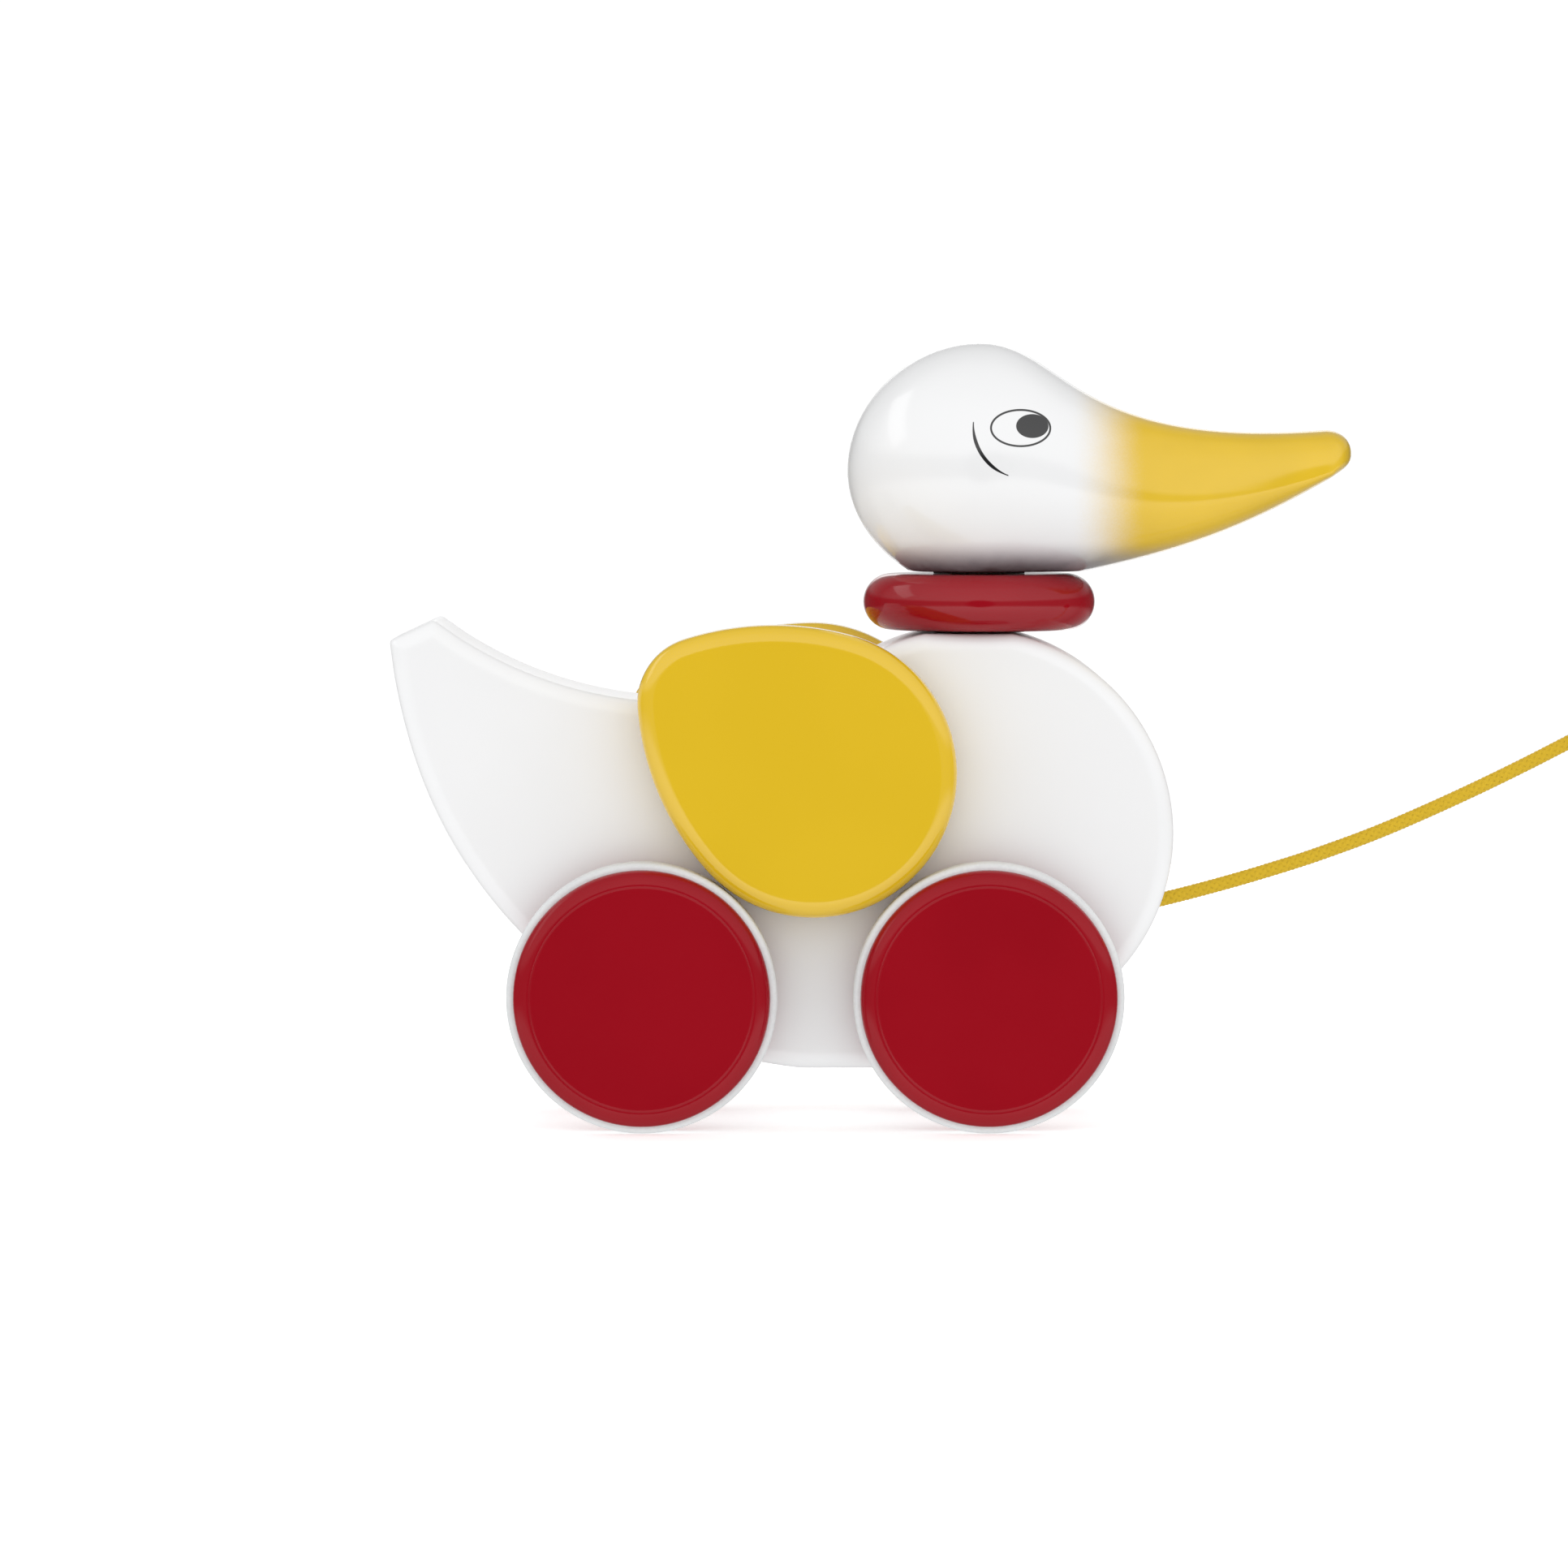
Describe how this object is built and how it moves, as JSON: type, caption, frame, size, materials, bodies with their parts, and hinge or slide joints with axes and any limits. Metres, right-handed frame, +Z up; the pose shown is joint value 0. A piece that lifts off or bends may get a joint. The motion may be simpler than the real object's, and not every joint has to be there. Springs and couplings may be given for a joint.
{
  "type": "pull along toy",
  "caption": "Pull-along duck with a board body, turning head, loose neck ring, two swinging wings, rubber-tyred wheels on through axles and a taut pull cord with a bead.",
  "frame": {"origin": "on the floor under the middle of the toy's length and width, leaving out the pull cord and its bead", "axes": "+X forward, the way the bill and the cord point; +Y to the duck's left, along the axles; +Z up"},
  "size_m": [0.2781, 0.075, 0.1619],
  "materials": {
    "white_lacquer": "white lacquer on beech, satin to gloss",
    "head_lacquer": "white lacquer on beech, bill airbrushed yellow, printed eyes",
    "wing_lacquer": "yellow lacquer on beech, glossy",
    "wheel_lacquer": "red lacquer on beech, glossy",
    "collar_lacquer": "red lacquer on turned beech, high gloss",
    "tyre_rubber": "pale grey translucent rubber",
    "steel_rod": "drawn steel rod",
    "nylon": "natural nylon",
    "raw_beech": "plain sanded beech",
    "fibre": "pressed dark fibre",
    "cord_braid": "braided yellow polyester cord",
    "bead_lacquer": "red lacquer on a turned bead"
  },
  "bodies": {
    "duck_body": {"body": "white_lacquer", "neck_pin": "steel_rod", "collar_washer": "fibre", "wing_shaft": "steel_rod", "wing_spacer_right": "nylon", "wing_spacer_left": "nylon", "bush_front_right": "nylon", "bush_front_left": "nylon", "bush_rear_right": "nylon", "bush_rear_left": "nylon", "pull_cord": "cord_braid", "cord_knot": "cord_braid", "cord_plug": "raw_beech", "pull_bead": "bead_lacquer", "bead_knot": "cord_braid"},
    "duck_head": {"head": "head_lacquer", "neck_dowel": "raw_beech", "head_washer": "fibre"},
    "neck_ring": {"collar": "collar_lacquer"},
    "right_wing": {"wing_right": "wing_lacquer", "wing_bush_right": "nylon"},
    "left_wing": {"wing_left": "wing_lacquer", "wing_bush_left": "nylon"},
    "front_wheels": {"front_axle": "steel_rod", "wheel_front_right": "wheel_lacquer", "wheel_front_left": "wheel_lacquer", "tyre_front_right": "tyre_rubber", "tyre_front_left": "tyre_rubber"},
    "rear_wheels": {"rear_axle": "steel_rod", "wheel_rear_right": "wheel_lacquer", "wheel_rear_left": "wheel_lacquer", "tyre_rear_right": "tyre_rubber", "tyre_rear_left": "tyre_rubber"}
  },
  "joints": [
    {"name": "front_wheels_roll", "type": "hinge", "parent": "duck_body", "child": "front_wheels", "pos_m": [0.0236, 0, 0.02775], "axis": [0, 1, 0], "continuous": true},
    {"name": "rear_wheels_roll", "type": "hinge", "parent": "duck_body", "child": "rear_wheels", "pos_m": [-0.0474, 0, 0.02775], "axis": [0, 1, 0], "continuous": true},
    {"name": "head_turn", "type": "hinge", "parent": "duck_body", "child": "duck_head", "pos_m": [0.0223, 0, 0.1018], "axis": [0, 0, 1], "continuous": true},
    {"name": "collar_turn", "type": "hinge", "parent": "duck_body", "child": "neck_ring", "pos_m": [0.0223, 0, 0.1081], "axis": [0, 0, 1], "continuous": true},
    {"name": "right_wing_swing", "type": "hinge", "parent": "duck_body", "child": "right_wing", "pos_m": [-0.0123, -0.0285, 0.07348], "axis": [0, 1, 0], "range_deg": [-18, 70]},
    {"name": "left_wing_swing", "type": "hinge", "parent": "duck_body", "child": "left_wing", "pos_m": [-0.0123, 0.0285, 0.07348], "axis": [0, 1, 0], "range_deg": [-2, 86]}
  ]
}
